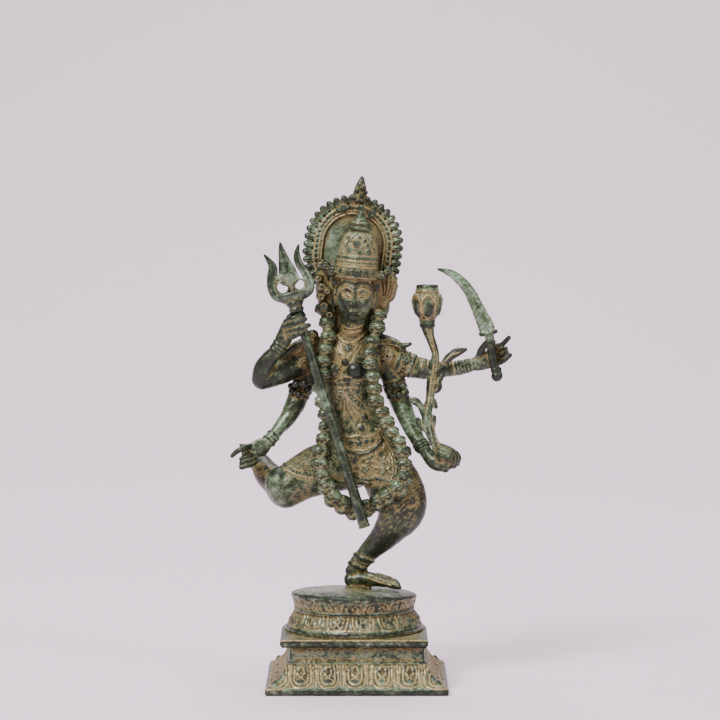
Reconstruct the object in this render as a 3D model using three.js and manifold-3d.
// A four-armed dancing Kali, cast in bronze by the lost-wax method, on a stepped lotus pedestal.
// Millimetres, +Z up, +X to the viewer's right, +Y away from the viewer.
// The origin is the middle of the pedestal's underside.
import * as THREE from 'three';
import { mergeVertices } from 'three/addons/utils/BufferGeometryUtils.js';
import Module from 'manifold-3d';

const wasm = await Module();
wasm.setup();

// Driving dimensions of the figure
const FIGURE_HEIGHT = 247.1;
const FIT_GAP = 0.3;

// Driving dimensions of the trident
const ROD_LENGTH = 136.2;
const ROD_END_RADIUS = 3.3;
const ROD_NECK_RADIUS = 2.4;
const FORK_HEIGHT = 39.5;
const FORK_HALF_WIDTH = 14;
const FORK_THICKNESS = 3.2;
const COLLAR_RADIUS = 5.4;

// Driving dimensions of the pedestal, from the ground up
const BASE_WIDTH = 108;
const BASE_BAND_HEIGHT = 3.2;
const FLARE_HEIGHT = 11.2;
const WALL_WIDTH = 79;
const WALL_HEIGHT = 11.8;
const SLAB_WIDTH = 87;
const SLAB_HEIGHT = 4.8;
const SLAB_BACK_CORNER = 30;
const RING_RADIUS = 41;
const RING_HEIGHT = 4.2;
const LOWER_LOTUS_HEIGHT = 7.8;
const WAIST_RADIUS = 35.4;
const WAIST_HEIGHT = 3.4;
const UPPER_LOTUS_HEIGHT = 6.4;
const DISC_RADIUS = 37.4;
const DISC_CROWN = 2.6;
const UPPER_SHIFT = -1.7;
const UPPER_PETALS = 14;
const LOWER_PETALS = 15;
const PETAL_PROUD = 1.6;
const SIDE_PETALS = 5;

// The figure's canon: its height in canon units, and the level of its sole
const CANON = 247.1;
const SOLE = -1.6;
const unit = FIGURE_HEIGHT / CANON;

const FRONT = new THREE.Vector3(0, -1, 0);
const BACK = new THREE.Vector3(0, 1, 0);
const UP = new THREE.Vector3(0, 0, 1);
const radians = THREE.MathUtils.degToRad;

// Heights of the pedestal's tiers follow from the sizes above
const flareTop = BASE_BAND_HEIGHT + FLARE_HEIGHT;
const wallTop = flareTop + WALL_HEIGHT;
const slabTop = wallTop + SLAB_HEIGHT;
const ringTop = slabTop + RING_HEIGHT;
const lotusMiddle = ringTop + LOWER_LOTUS_HEIGHT;
const waistTop = lotusMiddle + WAIST_HEIGHT;
const discEdge = waistTop + UPPER_LOTUS_HEIGHT;
const discTop = discEdge + DISC_CROWN;

// The figure is drawn in canon units: one unit is a millimetre at full height,
// and the sole of its foot rests on the crown of the pedestal's top disc.
const at = (x, y, z) => new THREE.Vector3(x * unit, y * unit, discTop + (z - SOLE) * unit);

// Turns a closed geometry into a solid that can be joined and cut
function solid(geometry) {
  const bare = geometry.clone();
  bare.deleteAttribute('normal');
  bare.deleteAttribute('uv');
  const merged = mergeVertices(bare, 1e-4);
  const corners = merged.index.array;
  const faces = [];
  for (let i = 0; i < corners.length; i += 3) {
    const [a, b, c] = corners.slice(i, i + 3);
    if (a !== b && b !== c && c !== a) faces.push(a, b, c);
  }
  return new wasm.Manifold(new wasm.Mesh({
    numProp: 3,
    vertProperties: new Float32Array(merged.attributes.position.array),
    triVerts: new Uint32Array(faces),
  }));
}

const join = (solids) => solids.reduce((whole, piece) => whole.add(piece));

// Moves every vertex of a geometry by a function of its place and its number
function reshape(geometry, move) {
  const place = geometry.attributes.position;
  const point = new THREE.Vector3();
  for (let i = 0; i < place.count; i += 1) {
    const moved = move(point.fromBufferAttribute(place, i), i);
    place.setXYZ(i, moved.x, moved.y, moved.z);
  }
  return geometry;
}

// A round form that follows a curve. A function of the way along gives its half width in the plane
// across the facing direction, as x, and its half depth, as y.
function sweep(spine, girthAt, { sides = 6, rows = 3, ends = 1, caps = 1, facing = BACK } = {}) {
  return solid(reshape(new THREE.CapsuleGeometry(1, rows, caps, sides, rows), (v) => {
    const along = THREE.MathUtils.clamp(v.y / rows + 0.5, 0, 1);
    const beyond = v.y - (along - 0.5) * rows;
    const way = spine.getTangent(along);
    const side = new THREE.Vector3().crossVectors(way, facing).normalize();
    const depth = new THREE.Vector3().crossVectors(side, way);
    const size = girthAt(along);
    return spine.getPoint(along)
      .addScaledVector(way, beyond * ends * Math.min(size.x, size.y))
      .addScaledVector(side, v.x * size.x)
      .addScaledVector(depth, v.z * size.y);
  }));
}

// A limb through stations [x, y, z, across, deep] in canon units
function limb(stations, options) {
  const spine = new THREE.CatmullRomCurve3(stations.map(([x, y, z]) => at(x, y, z)));
  const girth = new THREE.CatmullRomCurve3(
    stations.map(([, , , across, deep]) => new THREE.Vector3(across * unit, deep * unit, 0)));
  return sweep(spine, (along) => girth.getPoint(along), options);
}

// A frame in the figure's canon: its origin and its lean to the viewer's right in degrees
function frameAt(x, y, z, lean = 0) {
  const turn = new THREE.Quaternion().setFromAxisAngle(BACK, radians(lean));
  return new THREE.Matrix4().compose(at(x, y, z), turn, new THREE.Vector3(unit, unit, unit));
}

// An egg shape at a point of a frame
function egg(frame, [x, y, z], [rx, ry, rz], around = 6, rows = 3) {
  const shape = new THREE.SphereGeometry(1, around, rows);
  shape.rotateX(Math.PI / 2);
  shape.scale(rx, ry, rz);
  shape.translate(x, y, z);
  return solid(shape.applyMatrix4(frame));
}

// A bangle or an armlet: a short band round a limb, square to an axis
function bangle([x, y, z], axis, radius, width) {
  const band = new THREE.CylinderGeometry(radius, radius, width, 7);
  const way = new THREE.Vector3(...axis).normalize();
  band.applyQuaternion(new THREE.Quaternion().setFromUnitVectors(BACK, way));
  return solid(band.applyMatrix4(frameAt(x, y, z)));
}

// A turned form: the profile is [radius, height] pairs in a frame's units, first and last on the axis
function turned(frame, profile, around = 10) {
  const lathe = new THREE.LatheGeometry(profile.map(([r, h]) => new THREE.Vector2(r, h)), around);
  lathe.rotateX(Math.PI / 2);
  return solid(lathe.applyMatrix4(frame));
}

// A plate cut to a shape that is drawn in the plane facing the viewer
function plate(frame, shape, front, back, curveSegments = 4) {
  const options = { depth: back - front, bevelEnabled: false, curveSegments };
  const sheet = new THREE.ExtrudeGeometry(shape, options);
  sheet.rotateX(Math.PI / 2);
  sheet.translate(0, back, 0);
  return solid(sheet.applyMatrix4(frame));
}

const canonFrame = frameAt(0, 0, 0);
const headFrame = frameAt(-1.3, -6, 174, 4.5);
const haloFrame = frameAt(-2.1, 8, 204.4, 7.4);

// Trunk: hips, waist, ribs and shoulders in one sway, the neck, and the cloth about the hips
function trunk() {
  const body = limb([
    [7, 0, 76, 20, 12.5], [3.4, -1, 89, 17, 11], [-1.4, -1, 103, 14.6, 9.2],
    [-4, -1, 116, 16.4, 10.2], [-4.6, -1.5, 129, 18.6, 11], [-4.2, -0.5, 139, 19.6, 10.5],
    [-3.4, 0.5, 147, 14, 8],
  ], { sides: 10, rows: 7, ends: 0.6 });
  const neck = limb([[-3.2, 0.5, 146, 9, 7.5], [-2.2, -2, 155, 7.9, 7.6], [-1.6, -5, 166, 7.6, 7.6]],
    { sides: 8, rows: 1 });
  const breasts = [[-13.6, 131], [-0.6, 131.5]].map(([x, z]) => (
    egg(canonFrame, [x, -9.2, z], [5.6, 5.4, 5.2], 6, 4)));
  const skirt = limb([[4.5, -1, 84, 17.5, 11.6], [7, -0.5, 76, 21, 13.4], [8, -0.5, 64, 22, 14.6]],
    { sides: 9, rows: 2, ends: 0.2 });
  const belt = limb([[-10.5, -9.5, 91, 2, 2], [-6, -12.2, 84.5, 2.2, 2], [0, -13.6, 80.5, 2.4, 2],
    [7, -13.6, 81.5, 2.2, 2], [13.5, -11.2, 88.5, 2, 2]], { sides: 4, rows: 4 });
  return join([body, neck, ...breasts, skirt, belt]);
}

// Standing leg: the knee bends out to the viewer, and the foot turns to the right
function standingLeg() {
  const thigh = limb([[15.5, -2, 72, 15, 13], [22.8, -6, 61, 16.2, 13.5], [26, -10, 51, 15, 11.5],
    [27.4, -10.5, 44, 12.8, 9.8]], { sides: 8, rows: 4, ends: 0.8 });
  const shin = limb([[26.8, -10, 47, 12, 9.6], [21, -6, 34, 8.7, 9], [12.6, 0, 24.5, 6.8, 7],
    [4.5, 3.4, 16.4, 5.6, 5.6], [-2.2, 6.4, 6.5, 5.6, 5.2]], { sides: 7, rows: 5 });
  const foot = limb([[-5.4, 7.4, 3.6, 4.8, 5], [3.2, 4, 4.6, 5.2, 5.2], [11, 1.6, 2.8, 3.9, 6],
    [19, -1, 0.8, 2.5, 6.4]], { sides: 7, ends: 0.8 });
  const toes = [[-4, 1.8, 6.2], [-0.4, 1.6, 5], [3, 1.6, 3.6]].map(([across, thick, reach]) => {
    const root = [18.8 + across * 0.35, -1 + across, 0.9];
    const tip = [root[0] + reach, root[1] - reach * 0.3, 0.4];
    return limb([[...root, thick, thick], [...tip, thick - 0.2, thick - 0.2]], { sides: 4, rows: 1 });
  });
  const anklet = bangle([2.2, 4.6, 14], [0.36, 0, 0.93], 7, 6);
  return join([thigh, shin, foot, ...toes, anklet]);
}

// Raised leg: the knee comes forward to the left and the shin folds back behind the hand
function raisedLeg() {
  const thigh = limb([[-2, -1, 75, 16, 12], [-21, -6, 71, 15.4, 12.6], [-34, -10, 65.6, 13.2, 11.8],
    [-43, -13, 60.4, 12.3, 11]], { sides: 8, rows: 3, caps: 2 });
  const shin = limb([[-45.5, -9, 62.5, 10, 9.8], [-52.5, 1, 67.5, 8, 8], [-58.5, 12, 73.5, 6, 6.2],
    [-62.2, 21, 77, 4.6, 4.8]], { sides: 7, rows: 4, facing: UP });
  const foot = limb([[-62.4, 19, 76.6, 4.6, 4.8], [-62.2, 28, 74, 4.6, 4.4], [-61.6, 38, 70.2, 5, 3],
    [-61, 48, 66.5, 4.2, 1.8]], { ends: 0.8, facing: UP });
  const anklet = bangle([-61.6, 19.5, 76.4], [-0.3, 0.85, 0.3], 6.2, 2.4);
  return join([thigh, shin, foot, anklet]);
}

// Head: an egg drawn in to the chin, with a nose, eyes and a mouth, and hair down to the shoulders
function head() {
  const skull = solid(reshape(new THREE.SphereGeometry(1, 10, 8), (v) => {
    const { x, y, z } = v.clone();
    const taper = y < 0 ? 1 - 0.34 * y * y : 1;
    return v.set(x * 11.3 * taper, -z * 12 * taper, y * 17);
  }).applyMatrix4(headFrame));
  const face = [
    egg(headFrame, [0, -12.2, -2.6], [1.7, 2, 3.8], 4),
    egg(headFrame, [0, -10.2, -8.6], [3, 1.7, 1.3], 5),
    egg(headFrame, [0, -8.6, -13.2], [3.4, 2.6, 2.8], 5),
  ];
  for (const side of [-1, 1]) {
    face.push(egg(headFrame, [side * 4.4, -9.9, 0.6], [2.6, 1.6, 1.5], 5));
    face.push(egg(headFrame, [side * 12.8, 0, -1], [3.4, 3.6, 11]));
  }
  const hair = limb([[-1.6, 3, 176, 12, 6], [-2.6, 4, 162, 12.4, 5], [-3.4, 4.6, 148, 13, 4.6]],
    { rows: 2 });
  return join([skull, hair, ...face]);
}

// Crown: a flowered band, ribbed bands, a tall dome, rings, a spire and a ball
function crown() {
  const tower = turned(headFrame, [[0, 10], [12.8, 10], [13.6, 14], [12, 19], [12.2, 22], [11.2, 28],
    [9.4, 34], [7.8, 37.6], [5.4, 38.8], [6.2, 41], [5.4, 44], [1.2, 51.2], [0, 51.2]], 10);
  const ball = egg(headFrame, [0, 0, 52.4], [1.9, 1.9, 1.9], 5);
  const flowers = [-45, 0, 45].map((turn) => {
    const place = [13.4 * Math.sin(radians(turn)), -13.4 * Math.cos(radians(turn)), 15];
    const size = turn === 0 ? 3.2 : 2.8;
    return egg(headFrame, place, [size, size, size], 5);
  });
  const medallion = egg(headFrame, [0, -10, 29.6], [5.4, 1.7, 5.6]);
  const haloLug = egg(headFrame, [0, 10.6, 20], [7, 7, 11]);
  return join([tower, ball, ...flowers, medallion, haloLug]);
}

// Halo: a stilted arch of a plate with a beaded edge, a raised band and a flame on top
const HALO_RADIUS = 27.4;
const HALO_BAND = [18.2, 24.2];
const HALO_BEAD = 2.4;
const HALO_PITCH = 4.6;

function haloPath(radius) {
  const share = radius / HALO_RADIUS;
  const path = new THREE.Path();
  path.moveTo(19 * share, -34);
  path.quadraticCurveTo(radius, -22, radius, -6);
  path.lineTo(radius, 0);
  path.absarc(0, 0, radius, 0, Math.PI, false);
  path.lineTo(-radius, -6);
  path.quadraticCurveTo(-radius, -16, -17 * share, -28);
  return path;
}

function halo() {
  const path = haloPath(HALO_RADIUS);
  const beads = Math.round(path.getLength() / HALO_PITCH);
  const rise = [0, 1];
  const outline = [];
  for (let i = 0; i <= beads * rise.length; i += 1) {
    const share = i / (beads * rise.length);
    const point = path.getPointAt(share);
    const way = path.getTangentAt(share);
    const out = HALO_BEAD * rise[i % rise.length];
    outline.push(new THREE.Vector2(point.x + way.y * out, point.y - way.x * out));
  }
  const [inside, outside] = HALO_BAND.map((radius) => haloPath(radius).getSpacedPoints(16));
  const field = plate(haloFrame, new THREE.Shape(outline), 0.6, 3);
  const band = plate(haloFrame, new THREE.Shape([...outside, ...inside.reverse()]), -0.6, 1);
  const flame = turned(haloFrame, [[0, 25], [4, 28], [4.6, 31], [2.6, 35], [0, 41]], 7);
  return join([field, band, flame]);
}

// A string of beads through canon points: one sweep that swells at every bead
function beaded(points, pitch, [across, deep], waist, sides) {
  const route = new THREE.CatmullRomCurve3(points.map(([x, y, z]) => at(x, y, z)));
  const count = Math.round(route.getLength() / (pitch * unit));
  const spine = new THREE.CatmullRomCurve3(route.getSpacedPoints(2 * count));
  const full = new THREE.Vector3(across, deep, 0).multiplyScalar(unit);
  return sweep(spine, (along) => {
    const swell = 0.5 + 0.5 * Math.cos(2 * Math.PI * along * count);
    return full.clone().multiplyScalar(waist + (1 - waist) * swell);
  }, { sides, rows: 2 * count });
}

// Ear ornaments that fill the space between the head, the halo's lower ends and the garland
function earOrnaments() {
  return join([
    beaded([[-17.8, 5.4, 190], [-20, 3, 179.6], [-19.6, -1, 166]], 8.2, [3.6, 3.6], 0.66, 6),
    beaded([[21.6, 6.6, 190], [20, 5, 179.6], [14, -2, 165]], 8.2, [3.8, 3.8], 0.66, 6),
  ]);
}

// Garland of small heads, round the neck and down over the thighs
const HEAD_PITCH = 7;
const HEAD_GIRTH = [4.8, 4.6];
const HEAD_WAIST = 0.62;
const garlandRoute = [
  [-19.6, -2, 165], [-18.6, -7, 157], [-18, -11, 148], [-20, -13.5, 138], [-21, -14, 127],
  [-23.6, -13, 113], [-21.3, -13, 102], [-20.2, -14.5, 91.5], [-21.8, -17, 80.5], [-21.3, -19, 68],
  [-14.8, -19, 54.5], [-2.3, -18, 46.8], [12.5, -20.5, 51.6], [25, -22, 61], [27.4, -20, 71],
  [25.4, -17, 84.6], [18.4, -14, 98], [12.5, -13.5, 110.5], [10, -14.5, 121.5], [8.2, -15.5, 134],
  [8.6, -12.5, 145.5], [12.6, -8, 155], [13.4, -3, 163],
];

const garland = () => beaded(garlandRoute, HEAD_PITCH, HEAD_GIRTH, HEAD_WAIST, 5);

// Arms. Each is an upper arm and a forearm that meet in a rounded elbow, with its bands and bracelets
function upperLeftArm() {
  return join([
    limb([[-20, 2.5, 142, 8.4, 7.8], [-32, -0.5, 136.5, 8, 7.5], [-44, -5, 129.5, 7.4, 7],
      [-54.6, -9, 125.4, 6.4, 6.6]], { caps: 2 }),
    limb([[-56.2, -9.5, 125, 6.3, 6.4], [-55.6, -11.6, 131, 5.8, 6], [-51.4, -13.8, 138, 4.8, 5],
      [-45.6, -15, 144.6, 3.7, 3.8], [-42.4, -15.4, 148.5, 3.8, 3.6]], { rows: 4, caps: 2 }),
    bangle([-46.4, -15, 143.8], [0.62, -0.1, 0.78], 4.7, 2),
  ]);
}

function lowerLeftArm() {
  return join([
    limb([[-20, 3, 140, 8, 7], [-28.5, 4, 127, 7, 6.6], [-33.6, 4, 117.5, 6.2, 6],
      [-37, 2, 108.5, 6, 5.8]]),
    limb([[-36.8, 2, 109.5, 6, 5.8], [-41, 0.4, 101.5, 5, 5], [-46, -2.5, 95.4, 4, 4.2],
      [-51, -6, 89.4, 3.3, 3.4]]),
    bangle([-33.4, 4, 118], [-0.38, -0.05, -0.92], 7.4, 4),
    bangle([-51, -6, 89.4], [-0.62, -0.35, -0.7], 4.6, 3.2),
  ]);
}

function swordArm() {
  return join([
    limb([[13, 2.5, 142, 8, 7.4], [24, 2.5, 135.5, 7.6, 7], [34, 1, 131.6, 6.8, 6.4],
      [43.6, 0, 129.8, 5.4, 5.4]]),
    limb([[42.6, 0, 129.8, 5.4, 5.4], [50.5, -1.4, 130, 4.7, 4.7], [60, -3.2, 131.2, 4, 4],
      [68.6, -5, 133.4, 3.6, 3.4]]),
    bangle([29.4, 1.8, 134], [0.9, -0.1, -0.32], 8.6, 6),
    bangle([64, -4, 132.2], [1, -0.12, 0.24], 4.8, 7),
  ]);
}

function lotusArm() {
  return join([
    limb([[14, 3.5, 140, 8, 7], [20, 4, 128, 7, 6.8], [23.4, 3.4, 117.6, 6.6, 6.2],
      [27, 1, 107.5, 6, 5.8]]),
    limb([[26.6, 1, 108.5, 6, 5.8], [31.4, -3.4, 97.5, 5.2, 5.2], [36.6, -8, 88, 4.4, 4.6],
      [41.8, -12, 80.6, 3.8, 4]]),
    bangle([23.4, 3.4, 118.2], [0.3, -0.16, -0.94], 7.8, 4.4),
  ]);
}

// The trident's axis, from the flat lower end to the socket, and where on it the fist closes
const rodEnd = at(4.6, -22, 38);
const rodWay = at(-36, -19, 168).sub(rodEnd).normalize();
const rodPoint = (share) => rodEnd.clone().addScaledVector(rodWay, ROD_LENGTH * share);
const gripShare = at(-31.5, -19.4, 153.1).sub(rodEnd).dot(rodWay) / ROD_LENGTH;

// A finger that curls round the rod, from the palm behind it over its front
function rodFinger(row, radius, thickness) {
  const side = new THREE.Vector3().crossVectors(rodWay, FRONT).normalize();
  const forward = new THREE.Vector3().crossVectors(side, rodWay);
  const arc = [-100, -51, -2, 47, 95].map(radians).map((angle) => (
    rodPoint(gripShare)
      .addScaledVector(rodWay, row)
      .addScaledVector(side, radius * Math.sin(angle))
      .addScaledVector(forward, radius * Math.cos(angle))));
  const girth = new THREE.Vector3(thickness, thickness, 0);
  return sweep(new THREE.CatmullRomCurve3(arc), () => girth, { sides: 5, facing: rodWay });
}

// Fist round the rod: four fingers across its front, the palm and the back of the hand behind
function rodFist() {
  const rod = ROD_END_RADIUS + (ROD_NECK_RADIUS - ROD_END_RADIUS) * gripShare;
  const fingers = [1.66, 1.8, 1.86, 1.74].map((thickness, row) => (
    rodFinger((row - 1.5) * 3.1 * unit, rod + 0.86 * thickness * unit, thickness * unit)));
  const palm = limb([[-41.6, -15.4, 147.5, 3.8, 3.6], [-39.6, -16.4, 152, 4.9, 4.8],
    [-38.8, -16.4, 158, 4.9, 4.8], [-38.2, -16, 161.5, 3.4, 3.8]]);
  const thumb = limb([[-40, -13, 156, 2, 2], [-36.4, -12.4, 160.4, 2, 2],
    [-32.4, -14.4, 162.6, 1.8, 1.8]], { sides: 5, rows: 2 });
  return join([palm, thumb, ...fingers]);
}

// Hand with the drum: the back of the hand, and fingers round the waist of a small hourglass drum
function drumHand() {
  const drum = turned(frameAt(-67, -13, 80, 3),
    [[0, -6.4], [2.8, -6.4], [1.6, 0], [3.2, 6.4], [0, 6.4]], 8);
  const palm = limb([[-52.6, -6.8, 87.6, 3.6, 3], [-57.6, -9, 84.2, 5.4, 3.6],
    [-62.4, -11.4, 83, 4.2, 3.2]]);
  const fingers = [0, 1].map((i) => (
    limb([[-61.5, -12, 80.6 - 3 * i, 1.9, 1.9], [-65, -16, 80 - 3 * i, 1.8, 1.8],
      [-69, -16.6, 79 - 3 * i, 1.7, 1.7]], { sides: 4, rows: 2 })));
  const pointer = limb([[-62.5, -12, 85, 1.8, 1.8], [-67.4, -17, 84.6, 1.7, 1.7],
    [-71.6, -17, 82.2, 1.6, 1.6], [-74.4, -15.6, 79.4, 1.4, 1.4]], { sides: 4 });
  return join([drum, palm, pointer, ...fingers]);
}

// Sword: a curved blade, a small guard, the grip and a round pommel
function sword() {
  const blade = limb([[47.6, -12.2, 190.6, 0.7, 0.5], [53, -12.2, 189, 1.8, 0.8],
    [58, -12.2, 186.4, 2.6, 1], [65.6, -12.2, 178.6, 3.3, 1.1], [69.4, -12.2, 171.6, 3.6, 1.1],
    [73, -12.2, 164, 4.2, 1.2], [76.6, -12.2, 156, 5, 1.3], [77.8, -12.2, 152, 3.8, 1.5]],
  { sides: 4, rows: 8, ends: 0.4 });
  const guard = limb([[73.6, -12.2, 151.8, 1.5, 2], [82, -12.2, 153.6, 1.4, 2]], { sides: 4, rows: 1 });
  const grip = limb([[78, -12.2, 152.5, 2.7, 2.5], [82, -12.2, 130.5, 2.7, 2.5]],
    { rows: 1, ends: 0.2 });
  const pommel = egg(canonFrame, [82.9, -12.2, 127.2], [3.5, 3.4, 3.5], 6, 4);
  return join([blade, guard, grip, pommel]);
}

// Sword hand: an open palm behind the grip, the thumb in front of it and the fingers reaching past it
function swordHand() {
  const palm = limb([[68, -5, 133, 3.6, 3], [72.4, -6.4, 134.4, 4.8, 3.2], [77.4, -7.6, 136.6, 5.6, 3.2],
    [81.4, -8, 138.6, 4.8, 2.8]], { ends: 0.7 });
  const thumb = limb([[72, -8, 138, 2.2, 2], [74.2, -11.4, 143.6, 2, 1.9],
    [77.4, -14.8, 147.4, 1.8, 1.7], [80.8, -15.6, 147.6, 1.5, 1.5]], { sides: 4 });
  const tips = [[90, -12, 150], [88.2, -15, 143.6], [88.6, -15, 141.4], [91, -13, 139.6]];
  const fingers = tips.map((tip, i) => (
    limb([[81, -8, 144.6 - 3.2 * i, 1.9, 1.9], [85.4, -9.6, 145 - 3.3 * i, 1.8, 1.8],
      [...tip, 1.4, 1.4]], { sides: 4, rows: 2 })));
  return join([palm, thumb, ...fingers]);
}

// Fist that holds the lotus stem
function stemFist() {
  const palm = limb([[42.4, -12.4, 79.6, 4, 4.2], [47, -14.6, 76, 5.6, 5], [52.4, -17, 76.4, 6.4, 5],
    [56.4, -18.4, 77.4, 5.4, 4.2]], { sides: 7, ends: 0.8 });
  const fingers = [0, 1, 2].map((i) => (
    limb([[52 + i * 2, -18.6, 83 - 2.4 * i, 2, 2], [57.4 + 0.4 * i, -21, 80.4 - 3 * i, 1.9, 1.9],
      [53.4 - 0.6 * i, -21.4, 75.6 - 1.4 * i, 1.8, 1.8]], { sides: 5, rows: 2 })));
  return join([palm, ...fingers]);
}

// Lotus: a long stem with leaf curls and a side bud, and a half-open flower at the top
function lotus() {
  const stem = limb([[50, -19.5, 78, 2.6, 2.4], [45.6, -19, 88.6, 2.7, 2.4],
    [41.6, -18.4, 98.4, 2.8, 2.6], [43, -15, 112, 2.5, 2.4], [44, -12, 121.6, 3, 2.6],
    [45.2, -10.8, 131, 3.2, 2.8], [46.4, -11, 140.4, 2.3, 2.3], [43.6, -11.2, 149, 2.7, 2.7],
    [41.6, -11.2, 156.6, 4, 4]], { sides: 5, rows: 8, ends: 0.3 });
  const flower = turned(frameAt(41.6, -11.2, 157), [[0, -1], [4.6, -1], [4.4, 3.4],
    [8.2, 9.6], [8.9, 15], [8.2, 18.6], [6.4, 20.4], [6.9, 24.4], [0, 22.6]], 8);
  const bud = limb([[46, -10.6, 130.4, 1.8, 1.8], [50.2, -10.4, 133.4, 1.7, 1.7],
    [54.2, -10, 137.6, 2.4, 2.2], [59, -9.6, 140.8, 2.7, 2.4], [65, -9, 142.8, 1, 1]],
  { sides: 4, rows: 4, ends: 0.6 });
  const leaves = [
    [[41.4, -18, 100.4, 1.5, 1.5], [38.6, -17.6, 108, 1.9, 1.3], [35, -16.4, 113, 1.7, 1.3],
      [31, -15.6, 113.4, 1.3, 1.2]],
    [[42.8, -15.6, 108.4, 1.4, 1.3], [45.2, -15.6, 112.8, 1.6, 1.3], [46.9, -16, 108.6, 1.2, 1.1]],
    [[41, -19, 97, 1.6, 1.4], [37.4, -18.8, 100.4, 1.7, 1.3], [34.9, -18.4, 103, 1, 1]],
    [[44, -12.6, 128, 1.5, 1.5], [39, -11.6, 129.6, 1.9, 1.4], [36, -10.6, 126.6, 1.3, 1.2]],
  ].map((points) => limb(points, { sides: 4, rows: 2, ends: 0.8 }));
  const knot = egg(canonFrame, [46.8, -11.6, 123.4], [2.8, 2.3, 2.5], 5);
  return join([stem, flower, bud, knot, ...leaves]);
}

// Shoulder ornaments, and the scarf end that hooks out over the right shoulder
function shoulderOrnaments() {
  const scarf = limb([[15, 0.5, 147.6, 4, 3], [21.6, -1.4, 146.6, 2.6, 2.2], [27, -3, 144.4, 1.8, 1.8],
    [31.6, -4, 145.6, 1.2, 1.3]], { sides: 5 });
  const disc = egg(canonFrame, [18, -4.4, 138.4], [4.4, 2.2, 4.4], 7);
  const curls = [[-28.4, -4, 141.6], [-31, -2, 134.6]].map((place) => (
    egg(canonFrame, place, [4, 3.4, 4])));
  return join([scarf, disc, ...curls]);
}

// The trident: a straight tapered rod with a flat end, a two-ringed socket and a three-tined head
const FORK_LEAN = -13.9;

function rod(clearance) {
  const shape = new THREE.CylinderGeometry(ROD_NECK_RADIUS + clearance, ROD_END_RADIUS + clearance,
    ROD_LENGTH + 2 * clearance, 12);
  shape.applyQuaternion(new THREE.Quaternion().setFromUnitVectors(BACK, rodWay));
  const middle = rodPoint(0.5);
  return solid(shape.translate(middle.x, middle.y, middle.z));
}

function forkFrame() {
  const lean = new THREE.Quaternion().setFromAxisAngle(BACK, radians(FORK_LEAN));
  return new THREE.Matrix4().compose(rodPoint(1), lean, new THREE.Vector3(1, 1, 1));
}

function socket(clearance) {
  const r = COLLAR_RADIUS + clearance;
  return turned(forkFrame(), [[0, -3 - clearance], [0.62 * r, -3 - clearance], [0.86 * r, -1.6],
    [0.86 * r, 0], [0.66 * r, 1], [r, 2], [r, 3.8], [0.6 * r, 5.4], [0, 5.4]], 12);
}

// Half of the fork's outline is drawn; the other half is its mirror image
function fork() {
  const w = FORK_HALF_WIDTH / 14;
  const h = FORK_HEIGHT / 39.5;
  const half = new THREE.Path();
  half.moveTo(0, 3 * h);
  half.lineTo(6 * w, 3.4 * h);
  half.quadraticCurveTo(13.4 * w, 6 * h, 14 * w, 16 * h);
  half.bezierCurveTo(14.4 * w, 23 * h, 10.2 * w, 28 * h, 10.4 * w, 35 * h);
  half.bezierCurveTo(7.4 * w, 32 * h, 5.4 * w, 30 * h, 8 * w, 19.6 * h);
  half.lineTo(5.8 * w, 18.6 * h);
  half.quadraticCurveTo(3.4 * w, 27 * h, 0, FORK_HEIGHT);
  const right = half.getPoints(4);
  const left = right.slice(1, -1).reverse().map((p) => new THREE.Vector2(-p.x, p.y));
  const shape = new THREE.Shape([...right, ...left]);
  for (const side of [-1, 1]) {
    const hole = new THREE.Path();
    hole.absellipse(side * 5.2 * w, 14 * h, 3.1 * w, 3.1 * h, 0, 2 * Math.PI, false, 0);
    shape.holes.push(hole);
  }
  return plate(forkFrame(), shape, -FORK_THICKNESS / 2, FORK_THICKNESS / 2);
}

const trident = () => join([rod(0), socket(0), fork()]);

// The pedestal's square part: a band, a flare that curves in, and a plain wall
function squareTiers() {
  const [base, wall] = [BASE_WIDTH / 2, WALL_WIDTH / 2];
  const lip = 0.7;
  const inward = (base - wall - 2 * lip);
  const profile = [[0, 0], [base, 0], [base, BASE_BAND_HEIGHT], [base - lip, BASE_BAND_HEIGHT],
    [base - lip - 0.4 * inward, BASE_BAND_HEIGHT + 0.24 * FLARE_HEIGHT],
    [base - lip - 0.7 * inward, BASE_BAND_HEIGHT + 0.54 * FLARE_HEIGHT],
    [base - lip - inward, flareTop], [wall, flareTop], [wall, wallTop + lip], [0, wallTop + lip]];
  const corners = profile.map(([r, z]) => new THREE.Vector2(r * Math.SQRT2, z));
  const lathe = new THREE.LatheGeometry(corners, 4);
  lathe.rotateY(Math.PI / 4);
  lathe.rotateX(Math.PI / 2);
  return solid(lathe);
}

// The slab has square front corners and rounded back ones
function slab() {
  const half = SLAB_WIDTH / 2;
  const turn = half - SLAB_BACK_CORNER;
  const outline = new THREE.Shape();
  outline.moveTo(-half, -half);
  outline.lineTo(half, -half);
  outline.absarc(turn, turn, SLAB_BACK_CORNER, 0, Math.PI / 2, false);
  outline.absarc(-turn, turn, SLAB_BACK_CORNER, Math.PI / 2, Math.PI, false);
  const options = { depth: SLAB_HEIGHT, bevelEnabled: false, curveSegments: 6 };
  return solid(new THREE.ExtrudeGeometry(outline, options).translate(UPPER_SHIFT, 0, wallTop));
}

// A turned tier with lotus petals: where a profile point has a third number, every petal stands
// proud of it by that much, with a groove between two petals
function lotusTier(petals, profile) {
  const lathe = new THREE.LatheGeometry(profile.map(([r, z]) => new THREE.Vector2(r, z)), 2 * petals);
  return solid(reshape(lathe, (v, i) => {
    const [radius, , out = 0] = profile[i % profile.length];
    const crest = Math.floor(i / profile.length) % 2 === 0;
    const grow = crest && out > 0 ? (radius + out) / radius : 1;
    return v.set(v.x * grow, v.y, v.z * grow);
  }).rotateX(Math.PI / 2).translate(UPPER_SHIFT, 0, 0));
}

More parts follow.
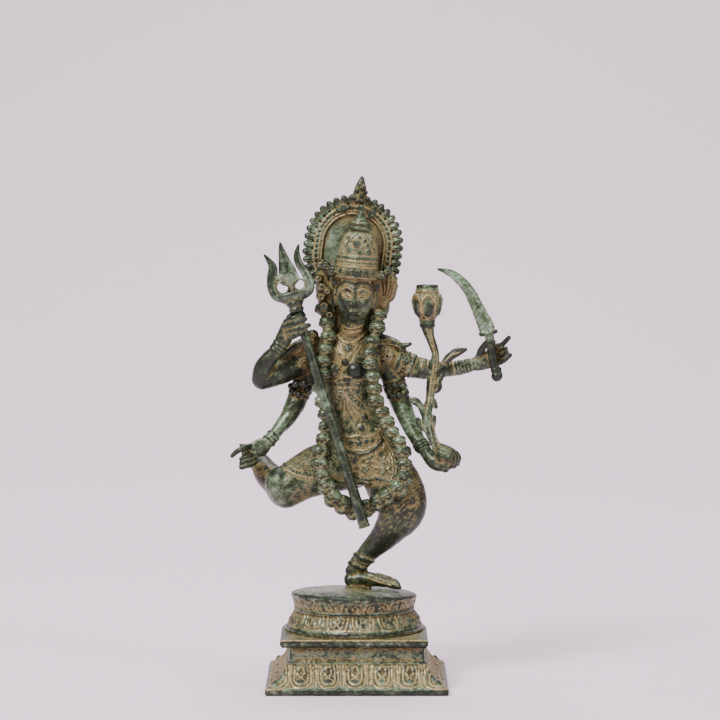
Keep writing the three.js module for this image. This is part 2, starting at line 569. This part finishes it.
// The round part: a foot ring, the lower lotus, a waist moulding, the upper lotus and the domed top
function domePoints(lift) {
  return [0.8, 0.45].map((share) => (
    [DISC_RADIUS * share, discEdge + lift + DISC_CROWN * (1 - share * share)]));
}

function roundTiers() {
  const lip = 1;
  const lower = lotusTier(LOWER_PETALS, [[0, wallTop + lip], [RING_RADIUS, wallTop + lip],
    [RING_RADIUS, ringTop - lip], [RING_RADIUS - lip, ringTop],
    [RING_RADIUS - 2.4, ringTop + 0.3 * LOWER_LOTUS_HEIGHT, PETAL_PROUD],
    [(RING_RADIUS + WAIST_RADIUS) / 2 - 0.6, ringTop + 0.7 * LOWER_LOTUS_HEIGHT, 0.8 * PETAL_PROUD],
    [WAIST_RADIUS, lotusMiddle], [0, lotusMiddle]]);
  const upper = lotusTier(UPPER_PETALS, [[0, lotusMiddle - lip], [WAIST_RADIUS - lip, lotusMiddle - lip],
    [WAIST_RADIUS + 0.9, lotusMiddle + 0.5 * WAIST_HEIGHT], [WAIST_RADIUS - 0.6, waistTop],
    [WAIST_RADIUS - 0.4, waistTop + 0.3 * UPPER_LOTUS_HEIGHT, 0.8 * PETAL_PROUD],
    [WAIST_RADIUS, waistTop + 0.6 * UPPER_LOTUS_HEIGHT, PETAL_PROUD],
    [DISC_RADIUS - 0.8, discEdge - lip], [DISC_RADIUS, discEdge], ...domePoints(0), [0, discTop]]);
  return [lower, upper];
}

// A low petal on the flare, leaned by an angle and turned about the pedestal's axis
function petal([halfWidth, proud, halfHeight], lean, [x, y, z], turn) {
  const lump = new THREE.OctahedronGeometry(1);
  lump.scale(halfWidth, proud, halfHeight);
  lump.rotateX(lean);
  lump.translate(x, y, z);
  return solid(lump.rotateZ(turn));
}

function flarePetals() {
  const middle = (BASE_WIDTH + WALL_WIDTH) / 4;
  const pitch = (2 * middle) / (SIDE_PETALS + 0.6);
  const lean = -Math.atan((BASE_WIDTH - WALL_WIDTH) / 2 / FLARE_HEIGHT);
  const list = [];
  for (let side = 0; side < 4; side += 1) {
    for (let i = 0; i < SIDE_PETALS; i += 1) {
      list.push(petal([pitch * 0.42, 1.2, FLARE_HEIGHT * 0.62], lean,
        [(i - (SIDE_PETALS - 1) / 2) * pitch, 0.7 - middle, BASE_BAND_HEIGHT + 0.42 * FLARE_HEIGHT],
        (side * Math.PI) / 2));
    }
  }
  return list;
}

const pedestal = () => join([squareTiers(), slab(), ...roundTiers(), ...flarePetals()]);

// What the sole is cut by: the pedestal's top, raised by the fit gap
function seat() {
  const reach = 1.4 * DISC_RADIUS;
  const below = discEdge - 0.4 * FIGURE_HEIGHT;
  const profile = [[0, below], [reach, below], [reach, discEdge + FIT_GAP - DISC_CROWN * 0.96],
    [DISC_RADIUS, discEdge + FIT_GAP], ...domePoints(FIT_GAP), [0, discTop + FIT_GAP]];
  return lotusTier(UPPER_PETALS, profile);
}

function figure() {
  const forms = [trunk(), standingLeg(), raisedLeg(), head(), crown(), halo(), earOrnaments(), garland(),
    upperLeftArm(), lowerLeftArm(), swordArm(), lotusArm(), rodFist(), drumHand(), sword(), swordHand(),
    stemFist(), lotus(), shoulderOrnaments()];
  return join(forms).subtract(rod(FIT_GAP)).subtract(socket(FIT_GAP)).subtract(seat());
}

function mesh(name, shape, color, roughness) {
  const { vertProperties, triVerts } = shape.getMesh();
  const geometry = new THREE.BufferGeometry();
  geometry.setAttribute('position', new THREE.BufferAttribute(new Float32Array(vertProperties), 3));
  geometry.setIndex([...triVerts]);
  geometry.computeVertexNormals();
  const bronze = new THREE.MeshStandardMaterial({ color, roughness, metalness: 0.6 });
  const piece = new THREE.Mesh(geometry, bronze);
  piece.name = name;
  return piece;
}

const kali = new THREE.Group();
kali.add(mesh('figure', figure(), '#5a6650', 0.55));
kali.add(mesh('trident', trident(), '#4c5a4a', 0.5));
kali.add(mesh('pedestal', pedestal(), '#6a6a4c', 0.6));

export default kali;
